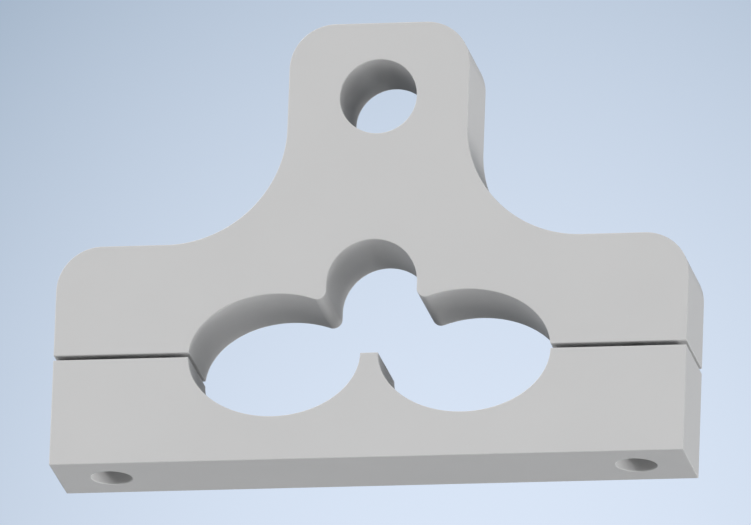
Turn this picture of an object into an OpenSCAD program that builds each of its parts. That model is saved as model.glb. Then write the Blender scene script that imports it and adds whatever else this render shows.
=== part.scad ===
// Hanging cable holder: a lower clamp bar and an upper hanger plate grip the cables
// in two oval side passages and one round middle passage. Two cap screws, sunk in the
// bar from below, pull the halves together, and the eye in the neck hangs the holder.
// The holder stands on its base at z = 0, with its front towards -Y.

/* [Both halves] */
// Width of both halves
holder_w = 140; // [120:1:200]
// Thickness of both halves from front to back
holder_t = 20; // [14:1:40]
// Gap that stays open between the halves
parting_gap = 1; // [0.5:0.1:3]

/* [Clamp bar] */
// Height of the bar
bar_h = 24; // [20:1:40]
// Solid height of the bar that each screw head pulls on
seat_h = 10; // [6:1:15]

/* [Hanger plate] */
// Height of the whole plate above its lower face
plate_h = 75; // [64:1:120]
// Height of the shoulders above the plate's lower face
shoulder_h = 25; // [22:1:35]
// Radius of the shoulders' outer corners
shoulder_r = 10; // [1:0.5:20]
// Width of the neck
neck_w = 40; // [26:1:60]
// Radius of the neck's top corners
neck_r = 10; // [1:0.5:12]
// Radius of the hollow blend from each shoulder up to the neck
blend_r = 26; // [5:1:36]

/* [Eye] */
// Diameter of the eye
eye_d = 17; // [8:0.5:26]
// Distance from the top of the neck down to the eye's centre
eye_drop = 17; // [13:0.5:30]

/* [Cable passages] */
// Width of each oval passage
oval_w = 38; // [24:1:46]
// Height of each oval passage
oval_h = 28; // [16:1:30]
// Width of the nose that stands between the ovals
nose_w = 4; // [1:0.5:8]
// Diameter of the round middle passage
lobe_d = 20; // [12:1:28]
// Height of the middle passage's centre above the ovals' centres
lobe_rise = 16; // [15:0.5:24]
// Radius on the tips between the middle passage and the ovals
tip_r = 2; // [0.5:0.25:2.75]

/* [Cap screws] */
// Distance from the end of the holder to each screw's axis
screw_inset = 12; // [9:0.5:16]
// Thread diameter
screw_d = 5; // [4:0.5:6]
// Length under the head
screw_len = 25; // [18:1:30]
// Diameter of the head
head_d = 8.5; // [7.5:0.5:10]
// Height of the head
head_h = 5; // [3:0.5:8]
// Width across the flats of the hexagon socket
socket_w = 4; // [3:0.5:5]
// Depth of the hexagon socket
socket_depth = 2.5; // [1.5:0.5:2.5]
// Chamfer on the head's rim and on the screw's end
screw_chamfer = 0.5; // [0.2:0.1:0.8]

/* [Screw holes] */
// Clearance all round a screw's shank in the bar
shank_clearance = 0.25; // [0.1:0.05:0.5]
// Clearance all round a screw's head in its counterbore
head_clearance = 0.25; // [0.1:0.05:0.5]
// Depth that a threaded hole goes on past the screw's end
hole_spare = 3; // [1:0.5:5]
// Point angle at the end of the threaded holes
drill_angle = 118; // [90:2:140]

/* [Hidden] */
$fn = 128;
// Length by which a cut runs past the face that it opens
past = 1;

plate_z = bar_h + parting_gap;
shoulder_z = plate_z + shoulder_h;
top_z = plate_z + plate_h;
eye_z = top_z - eye_drop;

oval_x = (nose_w + oval_w) / 2;
oval_z = bar_h;
lobe_z = oval_z + lobe_rise;

screw_x = holder_w / 2 - screw_inset;
seat_z = bar_h - seat_h;
screw_end_z = seat_z + screw_len;
hole_end_z = screw_end_z + hole_spare;
drill_point_h = screw_d / 2 / tan(drill_angle / 2);

// The blend stays inside the shoulder's flat and the neck's straight side
shoulder_room = (holder_w - neck_w) / 2 - shoulder_r;
neck_room = top_z - neck_r - shoulder_z;
blend_fit = min(blend_r, shoulder_room, neck_room);

// Point on the right oval's edge, at the angle t of its parametric form
function oval_point(t) = [oval_x + oval_w / 2 * cos(t), oval_z + oval_h / 2 * sin(t)];

// Unit vector that points out of the right oval at the angle t
function oval_normal(t) =
    let (n = [cos(t) / oval_w, sin(t) / oval_h])
    n / norm(n);

// Centre of the tip's circle where it touches the right oval from outside at the angle t
function tip_centre(t) = oval_point(t) + tip_r * oval_normal(t);

// Angle at which that circle also touches the middle passage's side, found by halving
function tip_angle(low, high, steps) =
    let (middle = (low + high) / 2)
    steps == 0 ? middle
    : tip_centre(middle)[0] > lobe_d / 2 + tip_r ? tip_angle(middle, high, steps - 1)
    : tip_angle(low, middle, steps - 1);

// Gives a shape drawn with its height along y a thickness from front to back
module upright(thickness) {
    rotate([90, 0, 0])
        linear_extrude(height = thickness, center = true)
            children();
}

// Repeats a shape on the left and the right
module both_sides() {
    children();
    mirror([1, 0, 0])
        children();
}

// Block with two rounded top corners, standing on the height z
module rounded_block(width, height, radius, z) {
    upright(holder_t)
        union() {
            translate([-width / 2, z])
                square([width, height - radius]);
            translate([-width / 2 + radius, z])
                square([width - 2 * radius, height]);
            both_sides()
                translate([width / 2 - radius, z + height - radius])
                    circle(r = radius);
        }
}

// Hollow blend that fills the corner between the right shoulder and the neck
module blend() {
    upright(holder_t)
        difference() {
            translate([0, shoulder_z - past])
                square([neck_w / 2 + blend_fit, blend_fit + past]);
            translate([neck_w / 2 + blend_fit, shoulder_z + blend_fit])
                circle(r = blend_fit);
        }
}

// Oval passage through both halves on the right
module oval_passage() {
    upright(holder_t + 2 * past)
        translate([oval_x, oval_z])
            scale([oval_w / oval_h, 1])
                circle(d = oval_h);
}

// Round middle passage, open downwards between its straight sides
module middle_passage() {
    upright(holder_t + 2 * past)
        union() {
            translate([0, lobe_z])
                circle(d = lobe_d);
            translate([-lobe_d / 2, plate_z - past])
                square([lobe_d, lobe_z - plate_z + past]);
        }
}

// Sharp sliver that comes off the tip between the middle and the right passage
module tip_cut() {
    t = tip_angle(90, 180, 40);
    centre = tip_centre(t);
    in_oval = centre - 2 * tip_r * oval_normal(t);
    in_middle_x = centre[0] - 2 * tip_r;
    upright(holder_t + 2 * past)
        difference() {
            polygon([
                centre,
                [in_middle_x, centre[1]],
                [in_middle_x, in_oval[1]],
                in_oval
            ]);
            translate(centre)
                circle(r = tip_r);
        }
}

// Blind threaded hole for the right screw, from the lower face of the plate
module threaded_hole() {
    translate([screw_x, 0, plate_z - past])
        cylinder(d = screw_d, h = hole_end_z - plate_z + past);
    translate([screw_x, 0, hole_end_z])
        cylinder(d1 = screw_d, d2 = 0, h = drill_point_h);
}

// Clearance hole and deep counterbore for the right screw, from the underside of the bar
module counterbored_hole() {
    translate([screw_x, 0, -past])
        cylinder(d = head_d + 2 * head_clearance, h = seat_z + past);
    translate([screw_x, 0, seat_z - past])
        cylinder(d = screw_d + 2 * shank_clearance, h = seat_h + 2 * past);
}

// Cap screw on the right, with its head down
module cap_screw() {
    head_z = seat_z - head_h;
    translate([screw_x, 0, 0])
        difference() {
            rotate_extrude()
                polygon([
                    [0, head_z],
                    [head_d / 2 - screw_chamfer, head_z],
                    [head_d / 2, head_z + screw_chamfer],
                    [head_d / 2, seat_z],
                    [screw_d / 2, seat_z],
                    [screw_d / 2, screw_end_z - screw_chamfer],
                    [screw_d / 2 - screw_chamfer, screw_end_z],
                    [0, screw_end_z]
                ]);
            translate([0, 0, head_z - past])
                cylinder(d = socket_w / cos(30), h = socket_depth + past, $fn = 6);
        }
}

// Upper half: shoulders, blends and neck in one plate, with the eye and the passages
module hanger_plate() {
    color("#c5c5c5")
        difference() {
            union() {
                rounded_block(holder_w, shoulder_h, shoulder_r, plate_z);
                rounded_block(neck_w, plate_h, neck_r, plate_z);
                both_sides()
                    blend();
            }
            upright(holder_t + 2 * past)
                translate([0, eye_z])
                    circle(d = eye_d);
            middle_passage();
            both_sides() {
                oval_passage();
                tip_cut();
                threaded_hole();
            }
        }
}

// Lower half: straight bar with the bottoms of the ovals and the counterbored holes
module clamp_bar() {
    color("#c5c5c5")
        difference() {
            translate([-holder_w / 2, -holder_t / 2, 0])
                cube([holder_w, holder_t, bar_h]);
            both_sides() {
                oval_passage();
                counterbored_hole();
            }
        }
}

// Two cap screws that pull the bar up to the plate
module clamp_screws() {
    color("#8e9196")
        both_sides()
            cap_screw();
}

hanger_plate();
clamp_bar();
clamp_screws();
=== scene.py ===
"""Looks of a hanging cable holder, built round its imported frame.

The holder is two thick grey plastic halves, a hanger plate above and a clamp bar below,
that two cap screws pull together from underneath. Each of them is a class here, with its
sizes as fields, and each finish is a small frozen class that builds its own material.
All lengths are in metres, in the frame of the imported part: +Z up, the front towards -Y.
"""

import logging
import math
from collections.abc import Callable
from dataclasses import dataclass
from enum import Enum
from typing import Protocol

import bmesh
import bpy
from mathutils import Matrix, Vector


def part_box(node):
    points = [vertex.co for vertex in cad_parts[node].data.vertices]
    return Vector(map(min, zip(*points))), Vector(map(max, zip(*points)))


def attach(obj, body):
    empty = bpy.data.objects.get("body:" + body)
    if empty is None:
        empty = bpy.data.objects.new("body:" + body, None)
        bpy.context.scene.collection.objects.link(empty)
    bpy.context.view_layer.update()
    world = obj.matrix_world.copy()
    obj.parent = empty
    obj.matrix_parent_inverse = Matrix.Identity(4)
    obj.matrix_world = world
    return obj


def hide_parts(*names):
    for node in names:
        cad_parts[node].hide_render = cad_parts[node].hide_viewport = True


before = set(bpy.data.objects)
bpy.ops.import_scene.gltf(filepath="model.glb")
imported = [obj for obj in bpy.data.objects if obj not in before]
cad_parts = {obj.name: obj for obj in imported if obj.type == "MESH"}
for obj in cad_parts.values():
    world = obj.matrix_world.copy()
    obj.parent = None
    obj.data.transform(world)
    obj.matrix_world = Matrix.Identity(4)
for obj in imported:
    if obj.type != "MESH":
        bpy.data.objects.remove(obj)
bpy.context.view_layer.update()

LOG = logging.getLogger("cable_holder")
MM = 0.001
ROOT = "root"
# Length by which a cutter runs past the face that it opens
PAST = 2 * MM
# Play within which a point counts as lying on a line
NEAR = 0.01 * MM
# Distance within which doubled points are merged
WELD = 0.002 * MM
# An edge is sharp where its two faces turn by more than this
SHARP_TURN = math.radians(35)
# Number of strips in a broken edge
BREAK_STRIPS = 3
# The middle range of a noise texture, in which nearly all of its values lie
NOISE_RANGE = (0.3, 0.7)


class Side(Enum):
    """The two mirrored sides of the holder."""

    LEFT = -1
    RIGHT = 1


class Axis(Enum):
    """The direction that a round cutter or primitive points in."""

    DEPTH = (math.pi / 2, 0.0, 0.0)
    HEIGHT = (0.0, 0.0, 0.0)


class Piece(Protocol):
    """A sub-assembly that can build and dress its own meshes."""

    def build(self) -> list[bpy.types.Object]:
        """Builds the meshes and returns their objects."""


# Modelling helpers


def deselect_all() -> None:
    """Leaves no object selected."""
    bpy.ops.object.select_all(action="DESELECT")


def make_active(obj: bpy.types.Object) -> None:
    """Selects one object alone and makes it the active one.

    Args:
        obj: The object to work on.
    """
    deselect_all()
    obj.select_set(True)
    bpy.context.view_layer.objects.active = obj


def take_new(name: str) -> bpy.types.Object:
    """Names the primitive that was just added and moves its place into its mesh.

    Args:
        name: The new object's name.

    Returns:
        The object, at the origin, unturned and unscaled.
    """
    obj = bpy.context.active_object
    obj.name = name
    obj.data.name = name
    make_active(obj)
    bpy.ops.object.transform_apply(location=True, rotation=True, scale=True)
    return obj


def add_box(name: str, low: Vector, high: Vector) -> bpy.types.Object:
    """Adds a box between two corners.

    Args:
        name: The box's name.
        low: Its lowest corner.
        high: Its highest corner.

    Returns:
        The box, with its place in its mesh.
    """
    deselect_all()
    bpy.ops.mesh.primitive_cube_add(size=1, location=(low + high) / 2, scale=high - low)
    return take_new(name)


def add_round(
    name: str,
    centre: Vector,
    radius: float,
    length: float,
    axis: Axis,
    sides: int,
    stretch: float = 1.0,
) -> bpy.types.Object:
    """Adds a straight cylinder, or one with an oval section.

    Args:
        name: The cylinder's name.
        centre: The middle of its axis.
        radius: Its radius, which an oval keeps as its half height.
        length: Its length along the axis.
        axis: The way that it points.
        sides: How many flats go round it.
        stretch: How many times wider than high its section is.

    Returns:
        The cylinder, with its place in its mesh.
    """
    deselect_all()
    bpy.ops.mesh.primitive_cylinder_add(
        vertices=sides, radius=radius, depth=length, location=centre, rotation=axis.value
    )
    obj = bpy.context.active_object
    obj.scale.x = stretch
    return take_new(name)


def add_cone(
    name: str, base: Vector, radius: float, height: float, sides: int
) -> bpy.types.Object:
    """Adds a cone that stands on its base and points up.

    Args:
        name: The cone's name.
        base: The middle of its base.
        radius: The radius of its base.
        height: Its height above the base.
        sides: How many flats go round it.

    Returns:
        The cone, with its place in its mesh.
    """
    deselect_all()
    bpy.ops.mesh.primitive_cone_add(
        vertices=sides,
        radius1=radius,
        radius2=0,
        depth=height,
        location=base + Vector((0, 0, height / 2)),
    )
    return take_new(name)


def pick_vertices(obj: bpy.types.Object, test: Callable[[Vector], bool]) -> None:
    """Selects, in edit mode, the vertices whose place passes a test.

    Args:
        obj: The object that is in edit mode.
        test: Says of a vertex's place if it is wanted.
    """
    bpy.context.tool_settings.mesh_select_mode = (True, False, False)
    mesh = bmesh.from_edit_mesh(obj.data)
    for vertex in mesh.verts:
        vertex.select_set(test(vertex.co))
    mesh.select_flush(False)
    mesh.select_flush(True)
    bmesh.update_edit_mesh(obj.data)


def pick_edges(obj: bpy.types.Object, test: Callable[[Vector, Vector], bool]) -> None:
    """Selects, in edit mode, the edges whose two ends pass a test.

    Args:
        obj: The object that is in edit mode.
        test: Says of an edge's two ends if it is wanted.
    """
    bpy.context.tool_settings.mesh_select_mode = (False, True, False)
    mesh = bmesh.from_edit_mesh(obj.data)
    for edge in mesh.edges:
        edge.select_set(test(edge.verts[0].co, edge.verts[1].co))
    bmesh.update_edit_mesh(obj.data)


def combine(target: bpy.types.Object, tool: bpy.types.Object, operation: str) -> None:
    """Applies a boolean of one object with another, and removes the other.

    Args:
        target: The object that keeps the result.
        tool: The object that cuts it, joins it or limits it.
        operation: Blender's name of the operation.
    """
    make_active(target)
    bpy.ops.object.modifier_add(type="BOOLEAN")
    modifier = target.modifiers[-1]
    modifier.operation = operation
    modifier.solver = "EXACT"
    modifier.object = tool
    bpy.ops.object.modifier_apply(modifier=modifier.name)
    bpy.data.objects.remove(tool, do_unlink=True)


def cut(target: bpy.types.Object, *tools: bpy.types.Object) -> None:
    """Cuts tools out of an object, one after the other.

    Args:
        target: The object that is cut.
        tools: The cutters, which are used up.
    """
    for tool in tools:
        combine(target, tool, "DIFFERENCE")


def tidy_faces(obj: bpy.types.Object) -> None:
    """Merges doubled points and turns the normals outwards.

    Args:
        obj: The object to tidy.
    """
    make_active(obj)
    bpy.ops.object.mode_set(mode="EDIT")
    bpy.ops.mesh.select_all(action="SELECT")
    bpy.ops.mesh.remove_doubles(threshold=WELD)
    bpy.ops.mesh.normals_make_consistent(inside=False)
    bpy.ops.mesh.select_all(action="DESELECT")
    bpy.ops.object.mode_set(mode="OBJECT")


def break_edges(obj: bpy.types.Object, width: float) -> None:
    """Rounds every sharp edge a little, as a deburred edge is.

    Args:
        obj: The object whose edges are broken.
        width: How far the rounding reaches from the edge.
    """
    make_active(obj)
    bpy.ops.object.modifier_add(type="BEVEL")
    modifier = obj.modifiers[-1]
    modifier.width = width
    modifier.segments = BREAK_STRIPS
    modifier.limit_method = "ANGLE"
    modifier.angle_limit = SHARP_TURN
    modifier.use_clamp_overlap = False
    modifier.harden_normals = True
    modifier.miter_outer = "MITER_ARC"
    bpy.ops.object.shade_smooth()
    bpy.ops.object.modifier_apply(modifier=modifier.name)


def hand_over(
    obj: bpy.types.Object, material: bpy.types.Material, node: str
) -> bpy.types.Object:
    """Dresses a finished piece and gives it its place in the frame.

    Args:
        obj: The finished piece.
        material: The material that covers it.
        node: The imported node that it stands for.

    Returns:
        The same piece.
    """
    obj.data.materials.clear()
    obj.data.materials.append(material)
    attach(obj, ROOT)
    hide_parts(node)
    return obj


# Finishes


class Shading:
    """A material's node tree, with short ways to add and join nodes."""

    def __init__(self, name: str) -> None:
        """Starts an empty material.

        Args:
            name: The material's name.
        """
        self.material = bpy.data.materials.new(name)
        self.material.use_nodes = True
        self.tree = self.material.node_tree
        self.tree.nodes.clear()
        self.output = self.add("ShaderNodeOutputMaterial")

    def add(self, kind: str, **sockets: object) -> bpy.types.Node:
        """Adds a node and sets its inputs by name.

        Args:
            kind: The node's type.
            sockets: Values of inputs, with underscores for the spaces in their names.

        Returns:
            The new node.
        """
        node = self.tree.nodes.new(kind)
        for name, value in sockets.items():
            node.inputs[name.replace("_", " ")].default_value = value
        return node

    def join(self, source: bpy.types.NodeSocket, target: bpy.types.NodeSocket) -> None:
        """Links an output to an input."""
        self.tree.links.new(source, target)

    def noise(
        self, size: float, detail: float, density: tuple[float, float, float] = (1.0, 1.0, 1.0)
    ) -> bpy.types.Node:
        """Adds a noise texture in the object's own coordinates.

        Args:
            size: The size of its waves.
            detail: How many finer layers it has.
            density: How much denser the waves lie along each axis.

        Returns:
            The noise node.
        """
        place = self.add("ShaderNodeTexCoord")
        mapping = self.add("ShaderNodeMapping", Scale=density)
        texture = self.add("ShaderNodeTexNoise", Scale=1 / size, Detail=detail)
        self.join(place.outputs["Object"], mapping.inputs["Vector"])
        self.join(mapping.outputs["Vector"], texture.inputs["Vector"])
        return texture

    def spread(
        self, source: bpy.types.NodeSocket, low: float, high: float
    ) -> bpy.types.NodeSocket:
        """Spreads a noise's middle range over two values.

        Args:
            source: The noise, from 0 to 1.
            low: The value at the noise's low end.
            high: The value at its high end.

        Returns:
            The spread value's socket.
        """
        node = self.add("ShaderNodeMapRange")
        node.inputs["From Min"].default_value = NOISE_RANGE[0]
        node.inputs["From Max"].default_value = NOISE_RANGE[1]
        node.inputs["To Min"].default_value = low
        node.inputs["To Max"].default_value = high
        self.join(source, node.inputs["Value"])
        return node.outputs["Result"]

    def tint(
        self,
        source: bpy.types.NodeSocket,
        colour: tuple[float, float, float],
        change: float,
        target: bpy.types.NodeSocket,
    ) -> None:
        """Gives a colour input a colour that varies a little.

        Args:
            source: The noise that it varies by, from 0 to 1.
            colour: The middle colour.
            change: The share by which it gets darker and lighter.
            target: The colour input.
        """
        mix = self.add("ShaderNodeMix")
        mix.data_type = "RGBA"
        mix.inputs["A"].default_value = (*[part * (1 - change) for part in colour], 1)
        mix.inputs["B"].default_value = (*[part * (1 + change) for part in colour], 1)
        self.join(self.spread(source, 0, 1), mix.inputs["Factor"])
        self.join(mix.outputs["Result"], target)

    def bump(
        self, height: bpy.types.NodeSocket, depth: float, under: bpy.types.Node | None = None
    ) -> bpy.types.Node:
        """Adds a bump of a real depth, on top of another if one is given.

        Args:
            height: The bump's height, from 0 to 1.
            depth: The depth that a height of 1 stands for.
            under: The bump that it lies on.

        Returns:
            The bump node.
        """
        node = self.add("ShaderNodeBump", Strength=1.0, Distance=depth)
        self.join(height, node.inputs["Height"])
        if under is not None:
            self.join(under.outputs["Normal"], node.inputs["Normal"])
        return node

    def clear_behind(self, front: bpy.types.NodeSocket) -> None:
        """Finishes a material that is clear where its faces are seen from behind.

        Args:
            front: The shader of the faces' front sides.
        """
        clear = self.add("ShaderNodeBsdfTransparent")
        side = self.add("ShaderNodeNewGeometry")
        mix = self.add("ShaderNodeMixShader")
        self.join(side.outputs["Backfacing"], mix.inputs["Fac"])
        self.join(front, mix.inputs[1])
        self.join(clear.outputs["BSDF"], mix.inputs[2])
        self.join(mix.outputs["Shader"], self.output.inputs["Surface"])


@dataclass(frozen=True)
class MouldedPlastic:
    """Light grey engineering plastic, moulded with a fine matt grain."""

    name: str
    grey: float = 0.56
    shade_change: float = 0.012
    cloud_size: float = 25 * MM
    grain_size: float = 0.3 * MM
    grain_depth: float = 0.008 * MM
    sink_size: float = 12 * MM
    sink_depth: float = 0.02 * MM
    roughness: tuple[float, float] = (0.56, 0.66)
    ior: float = 1.5
    specular: float = 0.2

    def make(self) -> bpy.types.Material:
        """Builds the material.

        Returns:
            The plastic's material.
        """
        shading = Shading(self.name)
        shader = shading.add(
            "ShaderNodeBsdfPrincipled", IOR=self.ior, Specular_IOR_Level=self.specular
        )
        clouds = shading.noise(self.cloud_size, detail=3.0)
        grain = shading.noise(self.grain_size, detail=2.0)
        sinks = shading.noise(self.sink_size, detail=1.0)
        shading.tint(
            clouds.outputs["Fac"],
            (self.grey,) * 3,
            self.shade_change,
            shader.inputs["Base Color"],
        )
        rough = shading.spread(grain.outputs["Fac"], *self.roughness)
        shading.join(rough, shader.inputs["Roughness"])
        low = shading.bump(sinks.outputs["Fac"], self.sink_depth)
        top = shading.bump(grain.outputs["Fac"], self.grain_depth, low)
        shading.join(top.outputs["Normal"], shader.inputs["Normal"])
        shading.join(shader.outputs["BSDF"], shading.output.inputs["Surface"])
        return shading.material


@dataclass(frozen=True)
class PlatedSteel:
    """Zinc-plated steel of a cap screw: satin, with fine turning marks."""

    name: str
    colour: tuple[float, float, float] = (0.42, 0.43, 0.45)
    shade_change: float = 0.06
    cloud_size: float = 2.5 * MM
    mark_size: float = 0.12 * MM
    mark_depth: float = 0.004 * MM
    mark_density: tuple[float, float, float] = (0.15, 0.15, 1.0)
    roughness: tuple[float, float] = (0.28, 0.42)

    def make(self) -> bpy.types.Material:
        """Builds the material.

        Returns:
            The steel's material.
        """
        shading = Shading(self.name)
        shader = shading.add("ShaderNodeBsdfPrincipled", Metallic=1.0)
        marks = shading.noise(self.mark_size, detail=2.0, density=self.mark_density)
        clouds = shading.noise(self.cloud_size, detail=3.0)
        shading.tint(
            clouds.outputs["Fac"], self.colour, self.shade_change, shader.inputs["Base Color"]
        )
        rough = shading.spread(clouds.outputs["Fac"], *self.roughness)
        shading.join(rough, shader.inputs["Roughness"])
        top = shading.bump(marks.outputs["Fac"], self.mark_depth)
        shading.join(top.outputs["Normal"], shader.inputs["Normal"])
        shading.join(shader.outputs["BSDF"], shading.output.inputs["Surface"])
        return shading.material


@dataclass(frozen=True)
class FloorPaint:
    """Plain floor paint that is seen from above only.

    The photograph looks up at the holder from below its base, so from there the floor is
    clear.
    """

    name: str
    colour: tuple[float, float, float]

    def make(self) -> bpy.types.Material:
        """Builds the material.

        Returns:
            The floor's material.
        """
        shading = Shading(self.name)
        paint = shading.add("ShaderNodeBsdfDiffuse", Color=(*self.colour, 1))
        shading.clear_behind(paint.outputs["BSDF"])
        return shading.material


@dataclass(frozen=True)
class CardPaintAndLightPool:
    """Pale blue-grey backdrop card with painted light: brightest in one spot, darker away from it.

    Where the spot lies on the card, and how far the fading reaches from it to the sides
    and upwards, are lengths on the card. From behind the card is clear, so that it hides
    nothing in a view of the holder's back.
    """

    name: str
    bright: tuple[float, float, float] = (0.71, 0.80, 0.94)
    dim: tuple[float, float, float] = (0.39, 0.48, 0.60)
    spot: tuple[float, float] = (0.063, -0.221)
    reach: tuple[float, float] = (0.393, 0.459)

    def make(self) -> bpy.types.Material:
        """Builds the material.

        Returns:
            The card's material.
        """
        shading = Shading(self.name)
        place = shading.add("ShaderNodeTexCoord")
        centre = shading.add(
            "ShaderNodeMapping",
            Location=(-self.spot[0] / self.reach[0], -self.spot[1] / self.reach[1], 0),
            Scale=(1 / self.reach[0], 1 / self.reach[1], 0),
        )
        square = shading.add("ShaderNodeVectorMath")
        square.operation = "DOT_PRODUCT"
        # Painted pool of light: the card glows brightest at the spot and fades to dim away from it
        fade = shading.add("ShaderNodeMix")
        fade.data_type = "RGBA"
        fade.inputs["A"].default_value = (*self.bright, 1)
        fade.inputs["B"].default_value = (*self.dim, 1)
        light = shading.add("ShaderNodeEmission", Strength=1.0)
        shading.join(place.outputs["Object"], centre.inputs["Vector"])
        shading.join(centre.outputs["Vector"], square.inputs[0])
        shading.join(centre.outputs["Vector"], square.inputs[1])
        shading.join(square.outputs["Value"], fade.inputs["Factor"])
        shading.join(fade.outputs["Result"], light.inputs["Color"])
        shading.clear_behind(light.outputs["Emission"])
        return shading.material


# The holder's pieces


@dataclass(frozen=True)
class Passages:
    """The two oval cable passages and the round one between them, as cutters."""

    oval_width: float
    oval_height: float
    oval_x: float
    oval_z: float
    middle_radius: float
    middle_z: float
    tip_radius: float
    depth: float
    sides: int = 192

    def oval(self, side: Side) -> bpy.types.Object:
        """Makes the cutter of one oval passage.

        Args:
            side: The side that it lies on.

        Returns:
            The cutter.
        """
        return add_round(
            "oval_cutter",
            Vector((side.value * self.oval_x, 0, self.oval_z)),
            self.oval_height / 2,
            self.depth,
            Axis.DEPTH,
            self.sides,
            self.oval_width / self.oval_height,
        )

    def middle(self) -> bpy.types.Object:
        """Makes the cutter of the round passage, open downwards between straight sides.

        Returns:
            The cutter.
        """
        low = Vector((-self.middle_radius, -self.depth / 2, self.oval_z))
        high = Vector((self.middle_radius, self.depth / 2, self.middle_z))
        cutter = add_round(
            "middle_cutter",
            Vector((0, 0, self.middle_z)),
            self.middle_radius,
            self.depth,
            Axis.DEPTH,
            self.sides,
        )
        combine(cutter, add_box("middle_sides", low, high), "UNION")
        return cutter

    def tip_touch(self) -> tuple[Vector, Vector]:
        """Finds the circle that rounds the right tip.

        The circle touches the middle passage's straight side and, from outside, the oval.
        Halving finds the angle on the oval at which both hold.

        Returns:
            The circle's centre, and the point where it touches the oval.
        """
        half = Vector((self.oval_width / 2, 0, self.oval_height / 2))
        low, high = math.pi / 2, math.pi
        close_enough = 1e-9
        while high - low > close_enough:
            angle = (low + high) / 2
            across, up = math.cos(angle), math.sin(angle)
            touch = Vector((self.oval_x + half.x * across, 0, self.oval_z + half.z * up))
            outwards = Vector((across / half.x, 0, up / half.z)).normalized()
            centre = touch + self.tip_radius * outwards
            if centre.x > self.middle_radius + self.tip_radius:
                low = angle
            else:
                high = angle
        return centre, touch

    def tip(self, side: Side) -> bpy.types.Object:
        """Makes the cutter that takes the sharp sliver off one tip.

        Args:
            side: The side that the tip is on.

        Returns:
            The cutter.
        """
        centre, touch = self.tip_touch()
        inner_x = self.middle_radius - self.tip_radius
        xs = sorted((side.value * inner_x, side.value * touch.x))
        low = Vector((xs[0], -self.depth / 2, touch.z - self.tip_radius))
        high = Vector((xs[1], self.depth / 2, centre.z))
        sliver = add_box("tip_cutter", low, high)
        cut(
            sliver,
            add_round(
                "tip_round",
                Vector((side.value * centre.x, 0, centre.z)),
                self.tip_radius,
                self.depth + PAST,
                Axis.DEPTH,
                self.sides // 2,
            ),
        )
        return sliver


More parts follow.
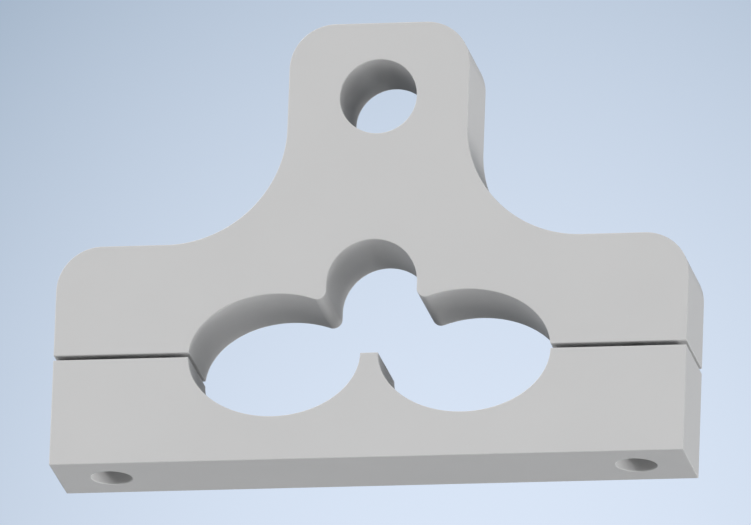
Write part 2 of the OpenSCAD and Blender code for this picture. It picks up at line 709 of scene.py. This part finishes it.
@dataclass(frozen=True)
class HangerPlate:
    """The upper half: shoulders, hollow blends and a neck with a round eye."""

    passages: Passages
    finish: MouldedPlastic
    low: Vector
    high: Vector
    shoulder_height: float
    shoulder_radius: float
    neck_width: float
    neck_radius: float
    blend_radius: float
    eye_radius: float
    eye_drop: float
    screw_x: float
    thread_radius: float
    hole_end: float
    drill_angle: float = math.radians(118)
    edge_break: float = 0.2 * MM
    corner_strips: int = 48
    blend_strips: int = 96
    eye_sides: int = 128
    hole_sides: int = 48
    node: str = "hanger_plate"
    slot: str = "plate_plastic"

    def corner(self, obj: bpy.types.Object, x: float, z: float, radius: float, strips: int) -> None:
        """Rounds the outline's corners at one distance from the middle, left and right.

        Args:
            obj: The flat outline, in edit mode.
            x: The corners' distance from the middle.
            z: The corners' height.
            radius: The radius that they get.
            strips: How many segments the arc has.
        """
        pick_vertices(obj, lambda p: abs(abs(p.x) - x) < NEAR and abs(p.z - z) < NEAR)
        bpy.ops.mesh.bevel(
            offset=radius, offset_type="OFFSET", segments=strips, profile=0.5, affect="VERTICES"
        )

    def outline(self) -> bpy.types.Object:
        """Makes the plate's flat outline: a shoulder strip with the neck drawn up from it.

        Returns:
            The outline, one flat face at the plate's front.
        """
        width, height = self.high.x - self.low.x, self.high.z - self.low.z
        shoulder_z = self.low.z + self.shoulder_height
        neck_x = self.neck_width / 2
        deselect_all()
        bpy.ops.mesh.primitive_plane_add(
            size=1,
            location=(0, self.low.y, self.low.z + self.shoulder_height / 2),
            rotation=(math.pi / 2, 0, 0),
        )
        plate = bpy.context.active_object
        plate.scale = (width, self.shoulder_height, 1)
        plate = take_new("hanger_plate_body")
        bpy.ops.object.mode_set(mode="EDIT")
        for x in (-neck_x, neck_x):
            bpy.ops.mesh.select_all(action="SELECT")
            bpy.ops.mesh.bisect(plane_co=(x, 0, 0), plane_no=(1, 0, 0))
        inside = neck_x + NEAR
        pick_edges(
            plate,
            lambda a, b: max(abs(a.x), abs(b.x)) < inside and min(a.z, b.z) > shoulder_z - NEAR,
        )
        rise = Vector((0, 0, height - self.shoulder_height))
        bpy.ops.mesh.extrude_region_move(TRANSFORM_OT_translate={"value": rise})
        bpy.ops.mesh.select_all(action="SELECT")
        flat = math.radians(1)
        bpy.ops.mesh.dissolve_limited(angle_limit=flat)
        self.corner(plate, width / 2, shoulder_z, self.shoulder_radius, self.corner_strips)
        self.corner(plate, neck_x, self.high.z, self.neck_radius, self.corner_strips)
        self.corner(plate, neck_x, shoulder_z, self.blend_radius, self.blend_strips)
        bpy.ops.object.mode_set(mode="OBJECT")
        return plate

    def threaded_hole(self, side: Side) -> bpy.types.Object:
        """Makes the cutter of one blind threaded hole, with its drill point.

        Args:
            side: The side that the hole is on.

        Returns:
            The cutter.
        """
        x = side.value * self.screw_x
        low = self.low.z - PAST
        cutter = add_round(
            "hole_cutter",
            Vector((x, 0, (low + self.hole_end) / 2)),
            self.thread_radius,
            self.hole_end - low,
            Axis.HEIGHT,
            self.hole_sides,
        )
        point = add_cone(
            "drill_point",
            Vector((x, 0, self.hole_end)),
            self.thread_radius,
            self.thread_radius / math.tan(self.drill_angle / 2),
            self.hole_sides,
        )
        combine(cutter, point, "UNION")
        return cutter

    def build(self) -> list[bpy.types.Object]:
        """Builds and dresses the plate.

        Returns:
            The plate.
        """
        plate = self.outline()
        bpy.ops.object.mode_set(mode="EDIT")
        bpy.ops.mesh.select_all(action="SELECT")
        thickness = Vector((0, self.high.y - self.low.y, 0))
        bpy.ops.mesh.extrude_region_move(TRANSFORM_OT_translate={"value": thickness})
        bpy.ops.object.mode_set(mode="OBJECT")
        tidy_faces(plate)
        eye = add_round(
            "eye_cutter",
            Vector((0, 0, self.high.z - self.eye_drop)),
            self.eye_radius,
            self.passages.depth,
            Axis.DEPTH,
            self.eye_sides,
        )
        cut(plate, eye, self.passages.middle())
        for side in Side:
            cut(plate, self.passages.oval(side), self.passages.tip(side), self.threaded_hole(side))
        tidy_faces(plate)
        break_edges(plate, self.edge_break)
        return [hand_over(plate, self.finish.make(), self.node)]


@dataclass(frozen=True)
class ClampBar:
    """The lower half: a straight bar with the bottoms of the ovals and two deep counterbores."""

    passages: Passages
    finish: MouldedPlastic
    low: Vector
    high: Vector
    screw_x: float
    seat_z: float
    counterbore_radius: float
    shank_hole_radius: float
    edge_break: float = 0.2 * MM
    counterbore_sides: int = 96
    shank_hole_sides: int = 64
    node: str = "clamp_bar"
    slot: str = "bar_plastic"

    def screw_hole(self, side: Side) -> tuple[bpy.types.Object, bpy.types.Object]:
        """Makes the cutters of one counterbore and the clearance hole above it.

        Args:
            side: The side that the hole is on.

        Returns:
            The counterbore's cutter and the clearance hole's.
        """
        x = side.value * self.screw_x
        low, top = self.low.z - PAST, self.high.z + PAST
        counterbore = add_round(
            "counterbore_cutter",
            Vector((x, 0, (low + self.seat_z) / 2)),
            self.counterbore_radius,
            self.seat_z - low,
            Axis.HEIGHT,
            self.counterbore_sides,
        )
        shank_hole = add_round(
            "shank_hole_cutter",
            Vector((x, 0, (low + top) / 2)),
            self.shank_hole_radius,
            top - low,
            Axis.HEIGHT,
            self.shank_hole_sides,
        )
        return counterbore, shank_hole

    def build(self) -> list[bpy.types.Object]:
        """Builds and dresses the bar.

        Returns:
            The bar.
        """
        bar = add_box("clamp_bar_body", self.low, self.high)
        for side in Side:
            cut(bar, self.passages.oval(side), *self.screw_hole(side))
        tidy_faces(bar)
        break_edges(bar, self.edge_break)
        return [hand_over(bar, self.finish.make(), self.node)]


@dataclass(frozen=True)
class CapScrew:
    """A socket-head cap screw that stands head down, with a knurled head and a real thread.

    The knurl's band is given by its two ends, as shares of the head's height. The spare
    turns of the thread are wound past each end of the shank and cut off with it.
    """

    finish: PlatedSteel
    x: float
    head_z: float
    seat_z: float
    end_z: float
    head_radius: float
    thread_radius: float
    pitch: float = 0.8 * MM
    pitches_deep: float = 0.61
    thread_play: float = 0.005 * MM
    thread_steps: int = 48
    spare_turns: int = 2
    head_overlap: float = 0.4 * MM
    knurl_ridges: int = 48
    knurl_depth: float = 0.12 * MM
    knurl_band: tuple[float, float] = (0.18, 0.88)
    rim_radius: float = 0.35 * MM
    rim_strips: int = 4
    socket_width: float = 4 * MM
    socket_depth: float = 2.5 * MM
    socket_angle: float = math.radians(120)
    round_sides: int = 48
    smooth_turn: float = math.radians(30)
    node: str = "clamp_screws"
    slot: str = "screw_steel"

    def thread_profile(self, start: float) -> bpy.types.Object:
        """Makes the edge of one turn of the thread: root, flank, crest and flank.

        The edge is divided in sixteenths of the pitch. The root is four of them wide, each
        flank five and the crest two.

        Args:
            start: The height at which the turn begins.

        Returns:
            The profile, a line beside the height axis.
        """
        parts = 16
        root_end, crest_start, crest_end = 4, 9, 11
        depth = self.pitches_deep * self.pitch
        root = self.thread_radius - self.thread_play - depth
        deselect_all()
        bpy.ops.mesh.primitive_plane_add(
            size=self.pitch,
            location=(root - self.pitch / 2, 0, start + self.pitch / 2),
            rotation=(math.pi / 2, 0, 0),
        )
        line = take_new("thread_profile")

        def mark(point: Vector) -> int:
            """Gives the number of sixteenths from the profile's start."""
            return round((point.z - start) / self.pitch * parts)

        bpy.ops.object.mode_set(mode="EDIT")
        pick_vertices(line, lambda p: p.x < root - self.pitch / 2)
        bpy.ops.mesh.delete(type="VERT")
        bpy.ops.mesh.select_all(action="SELECT")
        bpy.ops.mesh.subdivide(number_cuts=parts - 1)
        pick_vertices(line, lambda p: crest_start <= mark(p) <= crest_end)
        bpy.ops.transform.translate(value=(depth, 0, 0))
        corners = (0, root_end, crest_start, crest_end, parts)
        pick_vertices(line, lambda p: mark(p) not in corners)
        bpy.ops.mesh.dissolve_verts()
        bpy.ops.object.mode_set(mode="OBJECT")
        return line

    def thread(self) -> bpy.types.Object:
        """Makes the threaded shank: one turn's profile, wound up, capped and cut to length.

        Returns:
            The shank, round the height axis at the middle of the holder.
        """
        shank = self.thread_profile(self.seat_z - self.spare_turns * self.pitch)
        make_active(shank)
        bpy.ops.object.modifier_add(type="SCREW")
        winding = shank.modifiers[-1]
        winding.axis = "Z"
        winding.steps = self.thread_steps
        winding.render_steps = self.thread_steps
        winding.screw_offset = self.pitch
        turns = math.ceil((self.end_z - self.seat_z) / self.pitch)
        winding.iterations = turns + 2 * self.spare_turns
        bpy.ops.object.modifier_apply(modifier=winding.name)
        bpy.ops.object.mode_set(mode="EDIT")
        bpy.ops.mesh.select_all(action="SELECT")
        bpy.ops.mesh.remove_doubles(threshold=WELD)
        bpy.ops.mesh.select_all(action="DESELECT")
        bpy.ops.mesh.select_non_manifold()
        bpy.ops.mesh.fill()
        bpy.ops.mesh.select_all(action="SELECT")
        bpy.ops.mesh.normals_make_consistent(inside=False)
        bpy.ops.object.mode_set(mode="OBJECT")
        low = self.seat_z - self.head_overlap
        limit = add_round(
            "shank_limit",
            Vector((0, 0, (low + self.end_z) / 2)),
            self.thread_radius + PAST,
            self.end_z - low,
            Axis.HEIGHT,
            self.round_sides,
        )
        combine(shank, limit, "INTERSECT")
        return shank

    def head(self) -> bpy.types.Object:
        """Makes the knurled head with its rounded rim.

        Returns:
            The head, round the height axis at the middle of the holder.
        """
        height = self.seat_z - self.head_z
        head = add_round(
            "clamp_screw",
            Vector((0, 0, self.head_z + height / 2)),
            self.head_radius - self.knurl_depth,
            height,
            Axis.HEIGHT,
            2 * self.knurl_ridges,
        )
        bpy.ops.object.mode_set(mode="EDIT")
        band = tuple(self.head_z + share * height for share in self.knurl_band)
        for z in band:
            bpy.ops.mesh.select_all(action="SELECT")
            bpy.ops.mesh.bisect(plane_co=(0, 0, z), plane_no=(0, 0, 1))
        step = math.pi / self.knurl_ridges

        def on_ridge(point: Vector) -> bool:
            """Says if a point is on every second line of the band."""
            in_band = band[0] - NEAR < point.z < band[1] + NEAR
            return in_band and round(math.atan2(point.y, point.x) / step) % 2 == 0

        pick_vertices(head, on_ridge)
        grow = self.head_radius / (self.head_radius - self.knurl_depth)
        bpy.ops.transform.resize(value=(grow, grow, 1), center_override=(0, 0, self.head_z))
        pick_edges(head, lambda a, b: max(a.z, b.z) < self.head_z + NEAR)
        bpy.ops.mesh.bevel(
            offset=self.rim_radius, segments=self.rim_strips, profile=0.5, affect="EDGES"
        )
        bpy.ops.object.mode_set(mode="OBJECT")
        return head

    def socket(self) -> tuple[bpy.types.Object, bpy.types.Object]:
        """Makes the cutters of the hexagon socket and the drill point at its bottom.

        The point starts a hair inside the hexagon, so that the two overlap.

        Returns:
            The hexagon's cutter and the drill point's.
        """
        hexagon = add_round(
            "socket_cutter",
            Vector((0, 0, self.head_z + (self.socket_depth - PAST) / 2)),
            self.socket_width / math.sqrt(3),
            self.socket_depth + PAST,
            Axis.HEIGHT,
            6,
        )
        point = add_cone(
            "socket_point",
            Vector((0, 0, self.head_z + self.socket_depth - NEAR)),
            self.socket_width / 2,
            self.socket_width / 2 / math.tan(self.socket_angle / 2),
            self.round_sides,
        )
        return hexagon, point

    def build(self) -> list[bpy.types.Object]:
        """Builds one screw, copies it to the other side and dresses both.

        Returns:
            The two screws.
        """
        screw = self.head()
        combine(screw, self.thread(), "UNION")
        cut(screw, *self.socket())
        tidy_faces(screw)
        make_active(screw)
        bpy.ops.object.shade_smooth_by_angle(angle=self.smooth_turn)
        bpy.ops.object.modifier_add(type="WEIGHTED_NORMAL")
        screw.modifiers[-1].keep_sharp = True
        bpy.ops.object.modifier_apply(modifier=screw.modifiers[-1].name)
        material = self.finish.make()
        bpy.ops.object.duplicate()
        copy = bpy.context.active_object
        made = []
        for side, obj in ((Side.RIGHT, screw), (Side.LEFT, copy)):
            make_active(obj)
            bpy.ops.transform.translate(value=(side.value * self.x, 0, 0))
            bpy.ops.object.transform_apply(location=True, rotation=True, scale=True)
            obj.name = f"clamp_screw_{side.name.lower()}"
            obj.data.name = obj.name
            made.append(hand_over(obj, material, self.node))
        return made


# The studio


@dataclass(frozen=True)
class FarLamp:
    """A soft lamp so far away that it lights all of the scene alike.

    At a level of 1, a white sheet that faces the lamp renders white.
    """

    name: str
    towards: tuple[float, float, float]
    level: float
    spread: float = math.radians(10)

    def on_floor(self) -> float:
        """Gives the lamp's level on the floor."""
        return self.level * max(0.0, Vector(self.towards).normalized().z)

    def build(self) -> None:
        """Adds the lamp to the scene."""
        data = bpy.data.lights.new(self.name, "SUN")
        data.energy = self.level * math.pi
        data.angle = self.spread
        lamp = bpy.data.objects.new(self.name, data)
        bpy.context.scene.collection.objects.link(lamp)
        direction = Vector(self.towards).normalized()
        lamp.location = direction
        lamp.rotation_mode = "QUATERNION"
        lamp.rotation_quaternion = (-direction).to_track_quat("-Z", "Y")


@dataclass(frozen=True)
class PhotoCamera:
    """The photograph's view: far away with a very long lens, from below the holder's base."""

    azimuth: float = math.radians(11.066)
    elevation: float = math.radians(-18.806)
    roll: float = math.radians(2.095)
    distance: float = 4.5384
    look_at: tuple[float, float, float] = (0.71 * MM, -10 * MM, 44.61 * MM)
    lens: float = 1000.0
    sensor: float = 36.0
    clip_start: float = 0.1
    clip_end: float = 100.0

    def place(self) -> Matrix:
        """Works out where the camera stands and how it is turned.

        Returns:
            The camera's matrix.
        """
        level = math.cos(self.elevation)
        back = Vector(
            (
                math.sin(self.azimuth) * level,
                -math.cos(self.azimuth) * level,
                math.sin(self.elevation),
            )
        )
        turned = (-back).to_track_quat("-Z", "Y").to_matrix()
        rolled = Matrix.Rotation(self.roll, 3, back) @ turned
        return Matrix.Translation(Vector(self.look_at) + self.distance * back) @ rolled.to_4x4()

    def build(self) -> None:
        """Adds the camera and makes it the scene's."""
        data = bpy.data.cameras.new("photo_camera")
        data.lens = self.lens
        data.sensor_width = self.sensor
        data.clip_start = self.clip_start
        data.clip_end = self.clip_end
        camera = bpy.data.objects.new("photo_camera", data)
        bpy.context.scene.collection.objects.link(camera)
        camera.matrix_world = self.place()
        bpy.context.scene.camera = camera


@dataclass(frozen=True)
class Studio:
    """Pale floor, pale surroundings, a backdrop card and soft lamps."""

    camera: PhotoCamera
    lamps: tuple[FarLamp, ...]
    floor_size: float = 40.0
    floor_gap: float = 0.3 * MM
    card_size: float = 3.0
    card_behind: float = 6.0
    seen_colour: tuple[float, float, float] = (0.57, 0.64, 0.73)
    air_level: float = 0.05

    def keep_from_light(self, obj: bpy.types.Object) -> None:
        """Stops a stage piece from shading or tinting the holder.

        Args:
            obj: The stage piece.
        """
        obj.visible_shadow = False
        obj.visible_diffuse = False
        obj.visible_glossy = False
        obj.visible_transmission = False

    def lay_floor(self) -> None:
        """Adds the floor, just under the holder's base, in the colour of the surroundings."""
        light = self.air_level + sum(lamp.on_floor() for lamp in self.lamps)
        paint = FloorPaint("floor_paint", tuple(part / light for part in self.seen_colour))
        deselect_all()
        bpy.ops.mesh.primitive_plane_add(size=self.floor_size, location=(0, 0, -self.floor_gap))
        floor = take_new("studio_floor")
        floor.data.materials.append(paint.make())
        self.keep_from_light(floor)

    def hang_card(self) -> None:
        """Adds the backdrop card, square to the photograph's view and far behind the holder."""
        deselect_all()
        bpy.ops.mesh.primitive_plane_add(size=self.card_size)
        card = bpy.context.active_object
        card.name = "backdrop_card"
        depth = self.camera.distance + self.card_behind
        card.matrix_world = self.camera.place() @ Matrix.Translation((0, 0, -depth))
        card.data.materials.append(CardPaintAndLightPool("card_paint_and_light_pool").make())
        self.keep_from_light(card)

    def fill_air(self) -> None:
        """Lights the scene a little from all round, and shows a pale colour past it."""
        world = bpy.data.worlds.new("studio_air")
        bpy.context.scene.world = world
        world.use_nodes = True
        nodes, links = world.node_tree.nodes, world.node_tree.links
        nodes.clear()
        output = nodes.new("ShaderNodeOutputWorld")
        mix = nodes.new("ShaderNodeMixShader")
        rays = nodes.new("ShaderNodeLightPath")
        seen = nodes.new("ShaderNodeBackground")
        air = nodes.new("ShaderNodeBackground")
        seen.inputs["Color"].default_value = (*self.seen_colour, 1)
        seen.inputs["Strength"].default_value = 1.0
        air.inputs["Color"].default_value = (1, 1, 1, 1)
        air.inputs["Strength"].default_value = self.air_level
        factor = rays.outputs["Is Camera Ray"]
        for kind in ("Is Glossy Ray", "Is Transmission Ray"):
            either = nodes.new("ShaderNodeMath")
            either.operation = "MAXIMUM"
            links.new(factor, either.inputs[0])
            links.new(rays.outputs[kind], either.inputs[1])
            factor = either.outputs["Value"]
        links.new(factor, mix.inputs["Fac"])
        links.new(air.outputs["Background"], mix.inputs[1])
        links.new(seen.outputs["Background"], mix.inputs[2])
        links.new(mix.outputs["Shader"], output.inputs["Surface"])

    def build(self) -> None:
        """Builds the camera, the floor, the card, the surroundings and the lamps."""
        bpy.context.scene.view_settings.view_transform = "Standard"
        self.camera.build()
        self.lay_floor()
        self.hang_card()
        self.fill_air()
        for lamp in self.lamps:
            lamp.build()


def design_holder() -> list[Piece]:
    """Works out the holder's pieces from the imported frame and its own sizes.

    Returns:
        The pieces, in building order.
    """
    plate_low, plate_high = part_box("hanger_plate")
    bar_low, bar_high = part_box("clamp_bar")
    screw_low, screw_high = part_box("clamp_screws")
    head_radius, head_height = 4.25 * MM, 5 * MM
    thread_radius, hole_spare = 2.5 * MM, 3 * MM
    screw_x = screw_high.x - head_radius
    seat_z = screw_low.z + head_height
    oval_width, nose_width = 38 * MM, 4 * MM
    middle_rise = 16 * MM
    passages = Passages(
        oval_width=oval_width,
        oval_height=28 * MM,
        oval_x=(nose_width + oval_width) / 2,
        oval_z=bar_high.z,
        middle_radius=10 * MM,
        middle_z=bar_high.z + middle_rise,
        tip_radius=2 * MM,
        depth=bar_high.y - bar_low.y + 2 * PAST,
    )
    plate = HangerPlate(
        passages=passages,
        finish=MouldedPlastic("plate_plastic_matt"),
        low=plate_low,
        high=plate_high,
        shoulder_height=25 * MM,
        shoulder_radius=10 * MM,
        neck_width=40 * MM,
        neck_radius=10 * MM,
        blend_radius=26 * MM,
        eye_radius=8.5 * MM,
        eye_drop=17 * MM,
        screw_x=screw_x,
        thread_radius=thread_radius,
        hole_end=screw_high.z + hole_spare,
    )
    bar = ClampBar(
        passages=passages,
        finish=MouldedPlastic("bar_plastic_matt"),
        low=bar_low,
        high=bar_high,
        screw_x=screw_x,
        seat_z=seat_z,
        counterbore_radius=4.5 * MM,
        shank_hole_radius=2.75 * MM,
    )
    screws = CapScrew(
        finish=PlatedSteel("screw_steel_satin"),
        x=screw_x,
        head_z=screw_low.z,
        seat_z=seat_z,
        end_z=screw_high.z,
        head_radius=head_radius,
        thread_radius=thread_radius,
    )
    return [plate, bar, screws]


def design_studio() -> Studio:
    """Chooses the lamps, whose levels together give the photograph's tones.

    Returns:
        The studio, with the photograph's camera.
    """
    wide = math.radians(40)
    lamps = (
        FarLamp("key_lamp", (-0.5, -0.4, 1.0), 1.05, wide),
        FarLamp("front_lamp", (0.0, -1.0, 0.0), 0.38),
        FarLamp("right_lamp", (1.0, 0.0, -0.35), 0.35, wide),
        FarLamp("right_low_lamp", (1.0, 0.0, -0.5), 0.35),
        FarLamp("right_front_lamp", (1.0, -0.6, -0.6), 0.155, wide),
        FarLamp("under_lamp", (-0.6, -0.4, -1.0), 0.24, wide),
        FarLamp("left_lamp", (-1.0, 0.0, 0.0), 0.2),
        FarLamp("back_lamp", (0.0, 1.0, 0.0), 0.6),
    )
    return Studio(camera=PhotoCamera(), lamps=lamps)


def main() -> None:
    """Builds the studio, the camera and the holder, and reports each piece."""
    logging.basicConfig(level=logging.INFO, format="%(name)s: %(message)s")
    design_studio().build()
    for piece in design_holder():
        for obj in piece.build():
            LOG.info("%s: %d faces", obj.name, len(obj.data.polygons))


if __name__ == "__main__":
    main()
